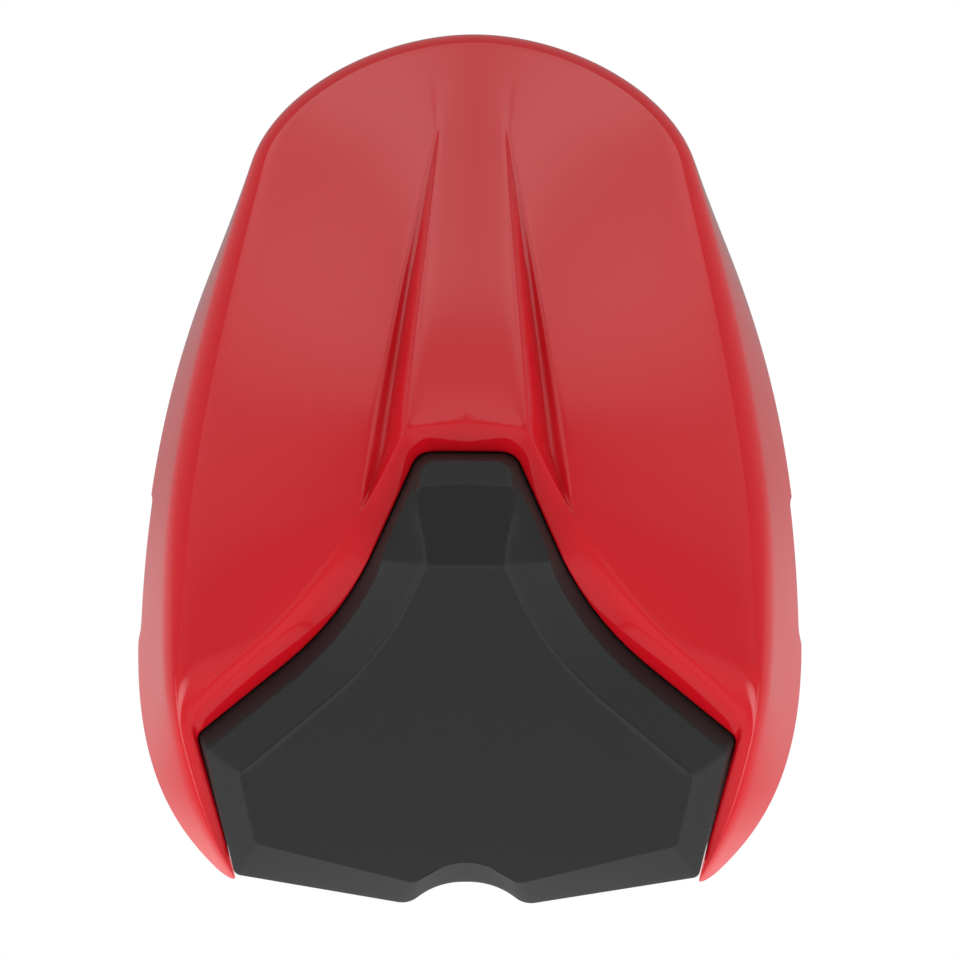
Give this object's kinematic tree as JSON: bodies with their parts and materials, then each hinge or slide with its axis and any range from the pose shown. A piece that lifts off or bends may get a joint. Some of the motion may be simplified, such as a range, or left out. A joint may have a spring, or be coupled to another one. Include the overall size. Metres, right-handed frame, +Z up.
{
  "type": "seat cowl",
  "caption": "Motorcycle tail seat cowl: painted moulded shell with raised spine and grooves, black rest pad in front, and a ribbed tray with tongue, lock stud and buffers.",
  "frame": {"origin": "on the rim plane, under the middle of the bounding box", "axes": "+X to the right across the seat, +Y back to the tail, +Z up"},
  "size_m": [0.2422, 0.3488, 0.1229],
  "materials": {
    "gloss_red": "gloss painted",
    "pad_black": "fine grained vinyl",
    "moulded_black": "moulded satin",
    "zinc_plate": "zinc plated",
    "dark_steel": "dark steel",
    "rubber_black": "matt moulded"
  },
  "bodies": {
    "root": {"cowl_shell": "gloss_red", "rest_pad": "pad_black", "pad_plate": "moulded_black", "stay_left": "zinc_plate", "stay_right": "zinc_plate", "stay_screws": "dark_steel", "stay_bolts": "dark_steel", "stay_nuts": "zinc_plate", "base_tray": "moulded_black", "boss_blocks": "moulded_black", "tray_screws": "dark_steel", "tray_washers": "zinc_plate", "front_tongue": "zinc_plate", "tongue_rivets": "dark_steel", "lock_bracket": "zinc_plate", "bracket_bolts": "dark_steel", "bracket_nuts": "zinc_plate", "lock_stud": "dark_steel", "stud_washer": "zinc_plate", "stud_nut": "zinc_plate", "buffer_front_left": "rubber_black", "buffer_front_right": "rubber_black", "buffer_rear_left": "rubber_black", "buffer_rear_right": "rubber_black"}
  },
  "joints": []
}
